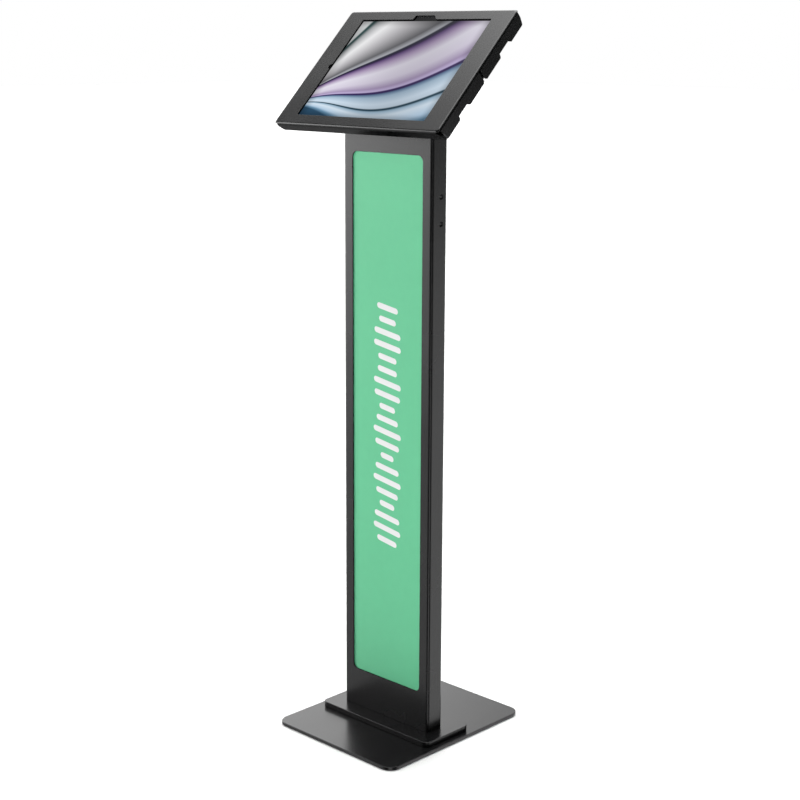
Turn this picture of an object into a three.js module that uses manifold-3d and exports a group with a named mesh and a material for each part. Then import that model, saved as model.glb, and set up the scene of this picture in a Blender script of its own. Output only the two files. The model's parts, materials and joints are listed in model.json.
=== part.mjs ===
// A floor-standing touchscreen kiosk: a flat floor plate, a slim column with a graphic panel in its
// front, and a tablet in a locked sheet-steel enclosure held at 45 degrees on top.
// Millimetres, +Z up, front towards -Y, origin at the middle of the footprint on the floor.
import * as THREE from "three";
import { mergeVertices } from "three/addons/utils/BufferGeometryUtils.js";
import Module from "manifold-3d";

const wasm = await Module();
wasm.setup();

// Driving dimensions
const GAP = 0.3; // between pieces that touch inside the tilted head
const SHEET = 1.5; // steel sheet of the enclosure
const OVER = 1; // how far a cutting shape runs past the face that it cuts
const pad = { radius: 12, height: 1, inset: 23 };
const base = { width: 257, depth: 305, thickness: 5, corner: 20, edge: 0.5 };
const foot = { width: 236, front: -62, back: 37, thickness: 9, corner: 10, edge: 0.6 };
const baseBolt = { head: 8, cone: 4, shank: 3.9, hole: 4.3, x: 98, inset: 15.5, bite: 6, sunk: 0.4 };
const boltSink = { play: 0.5, socket: 2.5, socketDepth: 2.2 };
const column = { width: 186, front: -33, back: 0, wall: 2, corner: 5, top: 980 };
const panelWindow = { width: 147, bottom: 78, top: 914, corner: 9.5 };
const panel = { overlap: 8, thickness: 3, setback: 0.1, corner: 4 };
const rail = { thickness: 1.5, face: 16.5, leg: 5, bottom: 60, top: 930, play: 0.2 };
const sideHole = { radius: 4, y: -13.3, heights: { lower: 814.5, upper: 854.5 } };
const nut = { outer: 7, bore: 3.3, length: 5, play: 0.1 };
const outlet = { hole: 9.5, flange: 12, bore: 6, height: 60, lip: 2.5 };
const cap = { thickness: 3, plug: 8, cableHole: 9, screwHole: 3.4 };
const bracket = { plate: 3, halfWidth: 62, foot: 44, gusset: 3, low: 57.7, high: 181.7, corner: 8 };
const bracketHole = { window: 24, setIn: 2, gussetLow: 10, gussetHigh: 4 };
const bracketScrew = { x: 30, head: 5.5, headHeight: 3.3, shank: 3, length: 14, edge: 1, socket: 2 };

// The head: x across, y up the slope from the face's lower edge, z straight out of the face
const head = { width: 341.2, length: 239.6, tilt: 45, edgeY: -107.4, edgeZ: 953.8 };
const flange = { depth: 22.2, lean: 7.5, bend: 3.5 };
const screenWindow = { width: 263, height: 198.5, corner: 1.2 };
const cameraNotch = { left: -25, right: 22.5, topLeft: -23.5, topRight: 14.5, depth: 8 };
const sensorNotch = { radius: 4.8 };
const sideNotches = [
  { low: 45.5, high: 74.4 },
  { low: 164.7, high: 196.2 },
];
const notch = { depth: 6, chamfer: 5.7 };
const slit = { low: 116.9, high: 120.7, start: 2.6, chamfer: 3 };
const seam = { width: 0.7, clear: 1.06, past: 0.6 }; // clear is in sheet thicknesses
const relief = { start: 1.9, end: 13, top: 7, foot: 1.2 };
const tray = { halfWidth: 165.4, low: 10.3, high: 229.3, floor: -20.5, rim: -9.5, corner: 2.5 };
const tablet = { width: 281, height: 215, back: -8, front: -2, corner: 17, wall: 1.2, floor: 1 };
const screen = { thickness: 1.45, front: -1.95, clearance: 0.4 };
const cell = { halfWidth: 52, height: 150, thickness: 3, x: 62, low: 30.7, corner: 4 };
const board = { halfWidth: 112, height: 30, thickness: 1.2, gap: 4 };
const shield = { places: [-80, -20, 50], width: 34, margin: 5, low: 1, high: 2.8 };
const cameraLens = { radius: 3, y: 222.2, height: 3.2 };
const button = { proud: 0.7, height: 1.5, play: 0.3, inner: 0.1, behindMid: 0.15 };
const powerKey = { low: 50, high: 62 }; // above the face's middle
const volumeKey = { left: -118, right: -92 };
const vesa = { half: 50, shank: 2, hole: 2.4, head: 4, headHeight: 2.6, end: -19, edge: 0.8 };
const vesaSocket = { radius: 1.5, depth: 1.4 };
const headGrommet = { hole: 13, flange: 15.5, bore: 8, lip: 1.6 };
const foamPad = { inner: 112, outer: 158, length: 26, top: -8.4, upstand: 141.2, upstandTop: -3 };
const foamSheet = { halfWidth: 104, low: 52.7, high: 186.7, screwClear: 6, cableClear: 17, corner: 6 };
const foamPlay = 0.6;
const hinge = { y: 232.3, z: -26.2, ring: 3.2, bore: 1.8, pin: 1.5, leaf: 1.2, half: 60 };
const fixedLeafSpan = { low: 205.4, high: 224.4, knuckle: 223.4, behind: 0.5 };
const coverLeafSpan = { start: 8, end: 20.5, knuckle: 20, tip: 24.5, off: 0.05 }; // depths behind the face
const knuckles = { fixed: [[-60, -36], [-12, 12], [36, 60]], cover: [[-35.7, -12.3], [12.3, 35.7]] };
const lock = { x: 146, y: 62.7, body: 8.4, head: 10.5, bore: 6, barrel: 5.6, hole: 8.8 };
const lockRim = { height: 4, edge: 1, front: -14 };
const keyhole = { proud: 4.4, half: 0.9, reach: 3.6, depth: 6 };
const lockNut = { radius: 12.4, bore: 8.8, low: -20.1, high: -16.6 };
const cam = { low: -12.2, high: -10.6, hub: 6.5, width: 9, reach: 15, play: 0.4 };
const camBolt = { radius: 3.6, height: 1.6, slotHalf: 0.5, slotReach: 3, slotFloor: 1 };
const lockCatch = { inner: 155.5, low: -14.1, high: -12.6, foot: -6, half: 8, sheet: 1.2 };
const catchOpening = { half: 9.5, below: 1.4, inward: 3 };

const halfHead = head.width / 2;
const middle = head.length / 2;
const plateTop = pad.height + base.thickness;
const footTop = plateTop + foot.thickness;
const capTop = column.top + cap.thickness;
const columnMid = (column.front + column.back) / 2;
const tilt = THREE.MathUtils.degToRad(head.tilt);
const trayBack = tray.floor - SHEET;
const plateFront = trayBack - GAP;
const plateBack = plateFront - bracket.plate;
const buttonMid = (tablet.back + tablet.front) / 2 - button.behindMid;
const insideFloor = tablet.back + tablet.floor + 0.1;

// Materials
function finish(color, roughness, metalness = 0) {
  return new THREE.MeshStandardMaterial({ color, roughness, metalness });
}
const powderCoat = finish(0x2c2d2f, 0.42, 0.15);
const plateCoat = finish(0x303133, 0.28, 0.2);
const greenPanel = finish(0x63b88c, 0.6);
const plainSteel = finish(0x8d9094, 0.35, 0.9);
const darkSteel = finish(0x1f2022, 0.4, 0.6);
const chromed = finish(0xc8cacd, 0.15, 1);
const rubber = finish(0x151515, 0.85);
const foam = finish(0x202124, 0.95);
const aluminium = finish(0xa9adb2, 0.32, 0.9);
const displayGlass = finish(0x9aa0b4, 0.08);
const cellPouch = finish(0x26282b, 0.5);
const boardGreen = finish(0x14402c, 0.6);
const lensBlack = finish(0x0a0a0c, 0.1);

// A closed geometry as a solid
function solidOf(geometry) {
  geometry.deleteAttribute("normal");
  geometry.deleteAttribute("uv");
  const merged = mergeVertices(geometry, 1e-4);
  const vertProperties = merged.attributes.position.array;
  const triVerts = new Uint32Array(merged.index.array);
  return new wasm.Manifold(new wasm.Mesh({ numProp: 3, vertProperties, triVerts }));
}

// A solid as a geometry again
function geometryOf(solid) {
  const mesh = solid.getMesh();
  const geometry = new THREE.BufferGeometry();
  const position = new THREE.BufferAttribute(new Float32Array(mesh.vertProperties), 3);
  geometry.setAttribute("position", position);
  geometry.setIndex(new THREE.BufferAttribute(new Uint32Array(mesh.triVerts), 1));
  geometry.computeVertexNormals();
  return geometry;
}

function cut(solid, ...tools) {
  return tools.reduce((left, tool) => left.subtract(tool), solid);
}

function join(solid, ...others) {
  return others.reduce((all, other) => all.add(other), solid);
}

function add(parent, name, solid, material) {
  const mesh = new THREE.Mesh(geometryOf(solid), material);
  mesh.name = name;
  parent.add(mesh);
}

// A box between two corners
function block(low, high) {
  const size = high.map((value, axis) => value - low[axis]);
  const geometry = new THREE.BoxGeometry(...size);
  geometry.translate(...low.map((value, axis) => value + size[axis] / 2));
  return solidOf(geometry);
}

function roundedRectangle(left, bottom, right, top, radius) {
  const shape = new THREE.Shape();
  shape.moveTo(left + radius, bottom);
  shape.lineTo(right - radius, bottom);
  shape.absarc(right - radius, bottom + radius, radius, -Math.PI / 2, 0);
  shape.lineTo(right, top - radius);
  shape.absarc(right - radius, top - radius, radius, 0, Math.PI / 2);
  shape.lineTo(left + radius, top);
  shape.absarc(left + radius, top - radius, radius, Math.PI / 2, Math.PI);
  shape.lineTo(left, bottom + radius);
  shape.absarc(left + radius, bottom + radius, radius, Math.PI, Math.PI * 1.5);
  return shape;
}

function outline(points) {
  return new THREE.Shape(points.map(([x, y]) => new THREE.Vector2(x, y)));
}

// A flat shape raised from z = low to z = high, with its rims eased by edge
function slab(shape, low, high, edge = 0, curveSegments = 6) {
  const geometry = new THREE.ExtrudeGeometry(shape, {
    depth: high - low - 2 * edge,
    bevelEnabled: edge > 0,
    bevelThickness: edge,
    bevelSize: edge,
    bevelOffset: -edge,
    bevelSegments: 1,
    curveSegments,
  });
  geometry.translate(0, 0, low + edge);
  return solidOf(geometry);
}

// A profile drawn in (y, z), carried along x
function alongX(shape, from, to) {
  const geometry = new THREE.ExtrudeGeometry(shape, { depth: to - from, bevelEnabled: false });
  const turn = new THREE.Matrix4();
  turn.makeBasis(new THREE.Vector3(0, 1, 0), new THREE.Vector3(0, 0, 1), new THREE.Vector3(1, 0, 0));
  geometry.applyMatrix4(turn);
  geometry.translate(from, 0, 0);
  return solidOf(geometry);
}

// A profile drawn in (x, z), carried along y
function alongY(shape, from, to) {
  const geometry = new THREE.ExtrudeGeometry(shape, { depth: to - from, bevelEnabled: false });
  geometry.rotateX(Math.PI / 2);
  geometry.translate(0, to, 0);
  return solidOf(geometry);
}

// A turned piece: [radius, height] points from the axis up and back to it, about an axis through
// (x, y) along z. With a bore the profile closes on itself.
function turned(profile, x = 0, y = 0, segments = 16) {
  const points = profile.map(([radius, height]) => new THREE.Vector2(radius, height));
  const geometry = new THREE.LatheGeometry(points, segments);
  geometry.rotateX(Math.PI / 2);
  geometry.translate(x, y, 0);
  return solidOf(geometry);
}

function rod(radius, low, high, x = 0, y = 0, segments = 16) {
  return turned([[0, low], [radius, low], [radius, high], [0, high]], x, y, segments);
}

function ring(outer, bore, low, high, x = 0, y = 0, segments = 16) {
  const profile = [[bore, low], [outer, low], [outer, high], [bore, high], [bore, low]];
  return turned(profile, x, y, segments);
}

// A rod along x, or along y, through a point of the two other axes
function rodAlongX(radius, from, to, y, z, segments = 16) {
  return rod(radius, from, to, 0, 0, segments).rotate([0, 90, 0]).translate([0, y, z]);
}

function rodAlongY(radius, from, to, x, z, segments = 20) {
  return rod(radius, from, to, 0, 0, segments).rotate([-90, 0, 0]).translate([x, 0, z]);
}

// A line of [x, y] corners that turn left, each rounded about a centre that lies roundAt away from
// the line, and followed at that centre's distance radius
function bentLine(corners, roundAt, radius, steps = 5) {
  const points = corners.map(([x, y]) => new THREE.Vector2(x, y));
  const inset = roundAt - radius;
  return points.flatMap((corner, i) => {
    const before = i > 0 ? corner.clone().sub(points[i - 1]).normalize() : null;
    const after = i < points.length - 1 ? points[i + 1].clone().sub(corner).normalize() : null;
    const along = before || after;
    const side = new THREE.Vector2(-along.y, along.x);
    if (!before || !after) return [corner.clone().addScaledVector(side, inset).toArray()];
    const angle = Math.acos(before.dot(after));
    const start = corner.clone().addScaledVector(before, -roundAt * Math.tan(angle / 2));
    const centre = start.addScaledVector(side, roundAt);
    return Array.from({ length: steps + 1 }, (_, step) => {
      const spoke = side.clone().negate().rotateAround(new THREE.Vector2(), (angle * step) / steps);
      return centre.clone().addScaledVector(spoke, radius).toArray();
    });
  });
}

// The section of a bent sheet, which lies on the left of its outer line
function bentSheet(corners, thickness, radius) {
  const outer = bentLine(corners, radius, radius);
  const inner = bentLine(corners, radius, radius - thickness);
  return outline([...outer, ...inner.reverse()]);
}

// How far the leaning top or bottom flange has come in at a depth behind the face
function leanAt(depth) {
  return (flange.lean * depth) / flange.depth;
}

// A point of the kiosk's (y, z) plane in the head's own frame
function inHead(y, z) {
  const across = y - head.edgeY;
  const up = z - head.edgeZ;
  const slope = across * Math.cos(tilt) + up * Math.sin(tilt);
  return [slope, up * Math.cos(tilt) - across * Math.sin(tilt)];
}

// Stand

function baseBoltPlaces() {
  const rows = [foot.front + baseBolt.inset, foot.back - baseBolt.inset];
  return rows.flatMap((y) => [-1, 1].map((side) => [side * baseBolt.x, y]));
}

function basePlate() {
  const { width, depth, corner, edge } = base;
  const shape = roundedRectangle(-width / 2, -depth / 2, width / 2, depth / 2, corner);
  const mouth = baseBolt.head + pad.height + baseBolt.sunk + boltSink.play;
  const throat = mouth - baseBolt.hole;
  const end = plateTop + OVER;
  const cone = [[0, 0], [mouth, 0], [baseBolt.hole, throat], [baseBolt.hole, end], [0, end]];
  const sinks = baseBoltPlaces().map(([x, y]) => turned(cone, x, y));
  return cut(slab(shape, pad.height, plateTop, edge), ...sinks);
}

function footFlange() {
  const half = foot.width / 2;
  const shape = roundedRectangle(-half, foot.front, half, foot.back, foot.corner);
  const bores = baseBoltPlaces().map(([x, y]) => {
    return rod(baseBolt.hole, plateTop - OVER, plateTop + baseBolt.bite + OVER, x, y);
  });
  return cut(slab(shape, plateTop, footTop, foot.edge), ...bores);
}

function baseBoltAt(x, y) {
  const under = pad.height + baseBolt.sunk;
  const end = plateTop + baseBolt.bite;
  const profile = [[0, under], [baseBolt.head, under], [baseBolt.shank, under + baseBolt.cone]];
  const body = turned([...profile, [baseBolt.shank, end], [0, end]], x, y);
  return cut(body, rod(boltSink.socket, under - OVER, under + boltSink.socketDepth, x, y, 6));
}

function columnOutline(inset) {
  const half = column.width / 2 - inset;
  const radius = column.corner - Math.min(inset, column.wall);
  const { front, back } = column;
  return roundedRectangle(-half, front + inset, half, back - inset, radius);
}

function columnTube() {
  const shape = columnOutline(0);
  shape.holes.push(columnOutline(column.wall));
  const { width, bottom, top, corner } = panelWindow;
  const opening = roundedRectangle(-width / 2, bottom, width / 2, top, corner);
  const window = alongY(opening, column.front - OVER, column.front + column.wall + OVER);
  const outer = column.width / 2;
  const reach = 2 * column.wall;
  const holes = Object.values(sideHole.heights).map((height) => {
    return rodAlongX(sideHole.radius, outer - reach, outer + reach, sideHole.y, height);
  });
  const cableHole = rodAlongY(outlet.hole, column.back - reach, column.back + reach, 0, outlet.height);
  return cut(slab(shape, footTop, column.top), window, ...holes, cableHole);
}

function graphicPanel() {
  const half = panelWindow.width / 2 + panel.overlap;
  const low = panelWindow.bottom - panel.overlap;
  const high = panelWindow.top + panel.overlap;
  const front = column.front + column.wall + panel.setback;
  return alongY(roundedRectangle(-half, low, half, high, panel.corner), front, front + panel.thickness);
}

// An L section behind each long edge of the panel, its leg against the column's side wall
function panelRail(side) {
  const front = column.front + column.wall + panel.setback + panel.thickness + rail.play;
  const outer = column.width / 2 - column.wall - rail.play;
  const { thickness, face, leg } = rail;
  const section = [
    [outer - face, front],
    [outer, front],
    [outer, front + leg],
    [outer - thickness, front + leg],
    [outer - thickness, front + thickness],
    [outer - face, front + thickness],
  ];
  const points = side > 0 ? section : section.map(([x, y]) => [-x, y]).reverse();
  return slab(outline(points), rail.bottom, rail.top);
}

function weldNut(height) {
  const inner = column.width / 2 - column.wall - nut.play;
  const profile = ring(nut.outer, nut.bore, inner - nut.length, inner);
  return profile.rotate([0, 90, 0]).translate([0, sideHole.y, height]);
}

// A rubber grommet with a groove that the sheet sits in
function grommet(size, low, high) {
  const { bore, lip } = size;
  const neck = size.hole - GAP;
  const rim = size.flange;
  const rimEdge = rim - 1;
  const profile = [
    [bore, low - lip],
    [rimEdge, low - lip],
    [rim, low - GAP],
    [neck, low - GAP],
    [neck, high + GAP],
    [rim, high + GAP],
    [rimEdge, high + lip],
    [bore, high + lip],
    [bore, low - lip],
  ];
  return turned(profile, 0, 0, 20);
}

function columnGrommet() {
  const made = grommet(outlet, column.back - column.wall, column.back);
  return made.rotate([-90, 0, 0]).translate([0, 0, outlet.height]);
}

function columnCap() {
  const lid = slab(columnOutline(0), column.top, capTop);
  const plug = slab(columnOutline(column.wall + GAP), column.top - cap.plug, column.top);
  const under = column.top - cap.plug - OVER;
  const screws = [-1, 1].map((side) => {
    return rod(cap.screwHole, under, capTop + OVER, side * bracketScrew.x, columnMid);
  });
  const cable = rod(cap.cableHole, under, capTop + OVER, 0, columnMid);
  return cut(join(lid, plug), ...screws, cable);
}

function bracketScrewAt(side) {
  const seat = capTop + GAP + bracket.gusset + GAP;
  const top = seat + bracketScrew.headHeight;
  const tip = seat - bracketScrew.length;
  const { shank, head: rim, edge, socket, x } = bracketScrew;
  const shankProfile = [[0, tip], [shank, tip], [shank, seat]];
  const headProfile = [[rim, seat], [rim, top - edge], [rim - edge, top], [0, top]];
  const body = turned([...shankProfile, ...headProfile], side * x, columnMid);
  return cut(body, rod(socket, top - socket, top + OVER, side * x, columnMid, 6));
}

// Head, each piece drawn in the head's own frame

// A folded bracket: a foot on the column's cap, two side gussets and the tilted plate
function headBracket() {
  const footLow = capTop + GAP;
  const footHigh = footLow + bracket.gusset;
  const front = column.front + bracketHole.setIn;
  const back = column.back - bracketHole.setIn;
  const footSection = [
    inHead(front, footLow),
    inHead(back, footLow),
    inHead(back, footHigh),
    inHead(front, footHigh),
  ];
  const bolts = [-1, 1].map((side) => {
    return rodInHead(cap.screwHole, side * bracketScrew.x);
  });
  const footPlate = cut(
    alongX(outline(footSection), -bracket.foot, bracket.foot),
    ...bolts,
    rodInHead(cap.cableHole, 0),
  );
  const { halfWidth, low, high, corner } = bracket;
  const plateShape = roundedRectangle(-halfWidth, low, halfWidth, high, corner);
  const side = [
    inHead(front, footLow),
    inHead(back, footLow),
    [high - bracketHole.gussetHigh, plateBack + OVER],
    [low + bracketHole.gussetLow, plateBack + OVER],
  ];
  const gussets = [-bracket.foot, bracket.foot - bracket.gusset].map((x) => {
    return alongX(outline(side), x, x + bracket.gusset);
  });
  const [under, above] = [plateBack - OVER, plateFront + OVER];
  const screws = vesaPlaces().map(([x, y]) => rod(vesa.hole, under, above, x, y));
  const window = rod(bracketHole.window, under, above, 0, middle, 28);
  const plate = cut(slab(plateShape, plateBack, plateFront), ...screws, window);
  return join(footPlate, plate, ...gussets);
}

// A vertical rod through the bracket's foot at the column's middle, as it lies in the head's frame
function rodInHead(radius, x) {
  const [y, z] = inHead(columnMid, capTop);
  const reach = 4 * bracket.gusset;
  return rod(radius, -reach, reach).rotate([-head.tilt, 0, 0]).translate([x, y, z]);
}

function vesaPlaces() {
  const rows = [middle - vesa.half, middle + vesa.half];
  return rows.flatMap((y) => [-vesa.half, vesa.half].map((x) => [x, y]));
}

function vesaScrewAt(x, y) {
  const seat = plateBack - GAP;
  const bottom = seat - vesa.headHeight;
  const { shank, head: rim, end, edge } = vesa;
  const headProfile = [[0, bottom], [rim - edge, bottom], [rim, bottom + edge], [rim, seat]];
  const shankProfile = [[shank, seat], [shank, end], [0, end]];
  const socket = rod(vesaSocket.radius, bottom - OVER, bottom + vesaSocket.depth, x, y, 6);
  return cut(turned([...headProfile, ...shankProfile], x, y, 12), socket);
}

// A shallow folded tray that closes the enclosure from behind
function enclosureBack() {
  const { halfWidth, low, high, floor, rim, corner } = tray;
  const outside = slab(roundedRectangle(-halfWidth, low, halfWidth, high, corner), trayBack, rim);
  const inner = halfWidth - SHEET;
  const hollow = roundedRectangle(-inner, low + SHEET, inner, high - SHEET, corner - SHEET);
  const inside = slab(hollow, floor, rim + OVER);
  const [under, above] = [trayBack - OVER, floor + OVER];
  const screws = vesaPlaces().map(([x, y]) => rod(vesa.hole, under, above, x, y));
  const cable = rod(headGrommet.hole, under, above, 0, middle, 24);
  const lockHole = rod(lock.hole, under, above, lock.x, lock.y);
  const { half, below, inward } = catchOpening;
  const catchSlot = block(
    [halfWidth - inward, lock.y - half, lockCatch.low - below],
    [halfWidth + OVER, lock.y + half, rim + OVER],
  );
  return cut(outside, inside, ...screws, cable, lockHole, catchSlot);
}

function enclosureGrommet() {
  return grommet(headGrommet, trayBack, tray.floor).translate([0, middle, 0]);
}

function foamSupport() {
  const { halfWidth, low, high, screwClear, cableClear, corner } = foamSheet;
  const shape = roundedRectangle(-halfWidth, low, halfWidth, high, corner);
  const sheet = slab(shape, tray.floor + GAP, foamPad.top);
  const [under, above] = [tray.floor - OVER, foamPad.top + OVER];
  const screws = vesaPlaces().map(([x, y]) => rod(screwClear, under, above, x, y));
  const cable = rod(cableClear, under, above, 0, middle, 24);
  return cut(sheet, ...screws, cable);
}

// A stepped foam block under each corner of the tablet, with an upstand beside it
function cornerPad(side, atTop) {
  const { inner, outer, length, top, upstand, upstandTop } = foamPad;
  const margin = SHEET + foamPlay;
  const low = atTop ? tray.high - margin - length : tray.low + margin;
  const [left, right] = side > 0 ? [inner, outer] : [-outer, -inner];
  const [wallLeft, wallRight] = side > 0 ? [upstand, outer] : [-outer, -upstand];
  const seat = block([left, low, tray.floor + GAP], [right, low + length, top]);
  const wall = block([wallLeft, low, top - OVER], [wallRight, low + length, upstandTop]);
  return join(seat, wall);
}

// Tablet

function centredInFace(width, height, radius) {
  return roundedRectangle(-width / 2, middle - height / 2, width / 2, middle + height / 2, radius);
}

function tabletHousing() {
  const { width, height, back, front, corner, wall, floor } = tablet;
  const outside = slab(centredInFace(width, height, corner), back, front, 0.4);
  const hollow = centredInFace(width - 2 * wall, height - 2 * wall, corner - wall);
  const inside = slab(hollow, back + floor, front + OVER);
  return cut(outside, inside, powerButton(button.play), volumeButton(button.play));
}

function tabletScreen() {
  const inset = 2 * (tablet.wall + screen.clearance);
  const { width, height, corner } = tablet;
  const shape = centredInFace(width - inset, height - inset, corner - inset / 2);
  return slab(shape, screen.front - screen.thickness, screen.front);
}

// Each button, or with a play round it the slot that it moves in, which runs right through the wall
function powerButton(play = 0) {
  const outside = -tablet.width / 2;
  const { proud, height, inner } = button;
  const through = play > 0 ? OVER : 0;
  const deep = height / 2 + play;
  return block(
    [outside - proud - through, middle + powerKey.low - play, buttonMid - deep],
    [outside + tablet.wall - inner + through, middle + powerKey.high + play, buttonMid + deep],
  );
}

function volumeButton(play = 0) {
  const outside = middle + tablet.height / 2;
  const { proud, height, inner } = button;
  const through = play > 0 ? OVER : 0;
  const deep = height / 2 + play;
  return block(
    [volumeKey.left - play, outside - tablet.wall + inner - through, buttonMid - deep],
    [volumeKey.right + play, outside + proud + through, buttonMid + deep],
  );
}

function tabletCell(side) {
  const { halfWidth, height, thickness, x, low, corner } = cell;
  const centre = side * x;
  const shape = roundedRectangle(centre - halfWidth, low, centre + halfWidth, low + height, corner);
  return slab(shape, insideFloor, insideFloor + thickness);
}

function tabletBoard() {
  const { halfWidth, height, thickness, gap } = board;
  const low = cell.low + cell.height + gap;
  const plate = block([-halfWidth, low, insideFloor], [halfWidth, low + height, insideFloor + thickness]);
  const shields = shield.places.map((x) => {
    return block(
      [x, low + shield.margin, insideFloor + shield.low],
      [x + shield.width, low + height - shield.margin, insideFloor + shield.high],
    );
  });
  return join(plate, ...shields);
}

function frontCamera() {
  return rod(cameraLens.radius, insideFloor, insideFloor + cameraLens.height, 0, cameraLens.y, 20);
}

// Cover

// The face's window, with a notch for the camera and a half-round one for a light sensor
function windowShape() {
  const { width, height, corner } = screenWindow;
  const left = -width / 2;
  const right = width / 2;
  const low = middle - height / 2;
  const high = middle + height / 2;
  const shape = new THREE.Shape();
  shape.moveTo(left + corner, low);
  shape.lineTo(right - corner, low);
  shape.absarc(right - corner, low + corner, corner, -Math.PI / 2, 0);
  shape.lineTo(right, high - corner);
  shape.absarc(right - corner, high - corner, corner, 0, Math.PI / 2);
  shape.lineTo(cameraNotch.right, high);
  shape.lineTo(cameraNotch.topRight, high + cameraNotch.depth);
  shape.lineTo(cameraNotch.topLeft, high + cameraNotch.depth);
  shape.lineTo(cameraNotch.left, high);
  shape.lineTo(left + corner, high);
  shape.absarc(left + corner, high - corner, corner, Math.PI / 2, Math.PI);
  shape.lineTo(left, middle + sensorNotch.radius);
  shape.absarc(left, middle, sensorNotch.radius, Math.PI / 2, Math.PI * 1.5);
  shape.lineTo(left, low + corner);
  shape.absarc(left + corner, low + corner, corner, Math.PI, Math.PI * 1.5);
  return shape;
}

// The cut-outs in a side flange's back edge, as one outline in (y, z)
function sideFlangeCuts() {
  const tip = -flange.depth;
  const notches = sideNotches.map(({ low, high }) => {
    const points = [
      [low - 1, tip - 1],
      [high + 1, tip - 1],
      [high, tip],
      [high - notch.chamfer, tip + notch.depth],
      [low + 1.5, tip + notch.depth],
      [low, tip + 1.5],
      [low - 1, tip + 0.5],
    ];
    return outline(points);
  });
  const slot = outline([
    [slit.low - slit.chamfer, tip - 1],
    [slit.high + slit.chamfer, tip - 1],
    [slit.high + slit.chamfer, tip],
    [slit.high, tip + slit.chamfer],
    [slit.high, -slit.start],
    [slit.low, -slit.start],
    [slit.low, tip + slit.chamfer],
    [slit.low - slit.chamfer, tip],
  ]);
  return [...notches, slot].map((shape) => alongX(shape, -halfHead - OVER, halfHead + OVER));
}

// The steel within a bent outline, filled in from edge to edge
function filled(corners, radius) {
  return outline(bentLine(corners, radius, radius));
}

// Folded from one sheet: the face with its window, leaning top and bottom flanges, and side flanges
// whose ends stop just short of them
function frontCover() {
  const { depth, lean, bend } = flange;
  const lengthwise = [[head.length - lean, -depth], [head.length, 0], [0, 0], [lean, -depth]];
  const crosswise = [[halfHead, -depth], [halfHead, 0], [-halfHead, 0], [-halfHead, -depth]];
  const strip = alongX(bentSheet(lengthwise, SHEET, bend), -halfHead, halfHead);
  const sides = alongY(bentSheet(crosswise, SHEET, bend), 0, head.length);
  const stripLimit = alongY(filled(crosswise, bend), -OVER, head.length + OVER);
  const sidesLimit = alongX(filled(lengthwise, bend), -halfHead - OVER, halfHead + OVER);
  const shell = join(strip.intersect(stripLimit), sides.intersect(sidesLimit));
  const window = slab(windowShape(), -SHEET - OVER, OVER);
  return cut(shell, window, ...sideFlangeCuts(), ...cornerSeams(), ...cornerReliefs());
}

// The open seam at each corner: a slot between a leaning flange and the end of a side flange
function cornerSeams() {
  const { depth, bend } = flange;
  const near = SHEET * seam.clear;
  const far = near + seam.width;
  const tip = depth + OVER;
  const bottom = [
    [leanAt(bend) + near, -bend],
    [leanAt(tip) + near, -tip],
    [leanAt(tip) + far, -tip],
    [leanAt(bend) + far, -bend],
  ];
  const top = bottom.map(([y, z]) => [head.length - y, z]);
  const inner = halfHead - SHEET - seam.past;
  const outer = halfHead + OVER;
  return [[inner, outer], [-outer, -inner]].flatMap(([from, to]) => {
    return [bottom, top].map((points) => alongX(outline(points), from, to));
  });
}

// The corner cut-outs that let the sheet fold: a wedge at each end of each leaning flange
function cornerReliefs() {
  const outer = halfHead + OVER;
  const wedge = [
    [outer, -relief.start],
    [halfHead - relief.top, -relief.start],
    [halfHead - relief.foot, -relief.end],
    [outer, -relief.end],
  ];
  const mirrored = wedge.map(([x, z]) => [-x, z]);
  const inward = leanAt(relief.end) + SHEET + OVER;
  return [wedge, mirrored].flatMap((points) => [
    alongY(outline(points), -OVER, inward),
    alongY(outline(points), head.length - inward, head.length + OVER),
  ]);
}

// Hinge

function knuckleRings(spans) {
  return spans.map(([from, to]) => rodAlongX(hinge.ring, from, to, hinge.y, hinge.z));
}

function hingeBore() {
  return rodAlongX(hinge.bore, -hinge.half - OVER, hinge.half + OVER, hinge.y, hinge.z);
}

function fixedLeaf() {
  const { behind, knuckle } = fixedLeafSpan;
  const high = trayBack - behind;
  const low = high - hinge.leaf;
  const plate = block([-hinge.half, fixedLeafSpan.low, low], [hinge.half, fixedLeafSpan.high, high]);
  const fingers = knuckles.fixed.map(([from, to]) => block([from, knuckle, low], [to, hinge.y, high]));
  return cut(join(plate, ...fingers, ...knuckleRings(knuckles.fixed)), hingeBore());
}

// The leaf against the outside of the leaning top flange
function coverLeaf() {
  const { start, end, knuckle, tip, off } = coverLeafSpan;
  const slope = Math.atan2(flange.lean, flange.depth);
  const along = (depth, offset) => [
    head.length - leanAt(depth) + offset * Math.cos(slope),
    -depth - offset * Math.sin(slope),
  ];
  const band = (from, to) => {
    const inner = GAP + off;
    const outer = inner + hinge.leaf;
    return outline([along(from, inner), along(to, inner), along(to, outer), along(from, outer)]);
  };
  const plate = alongX(band(start, end), -hinge.half, hinge.half);
  const fingers = knuckles.cover.map(([from, to]) => alongX(band(knuckle, tip), from, to));
  return cut(join(plate, ...fingers, ...knuckleRings(knuckles.cover)), hingeBore());
}

function hingePin() {
  const end = hinge.half + 1;
  return rodAlongX(hinge.pin, -end, end, hinge.y, hinge.z);
}

// Lock

function lockHousing() {
  const { x, y, body, head: rim, bore } = lock;
  const { height, edge, front } = lockRim;
  const seat = trayBack - GAP;
  const back = seat - height;
  const rimProfile = [[bore, back], [rim - edge, back], [rim, back + edge], [rim, seat]];
  return turned([...rimProfile, [body, seat], [body, front], [bore, front], [bore, back]], x, y, 20);
}

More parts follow.
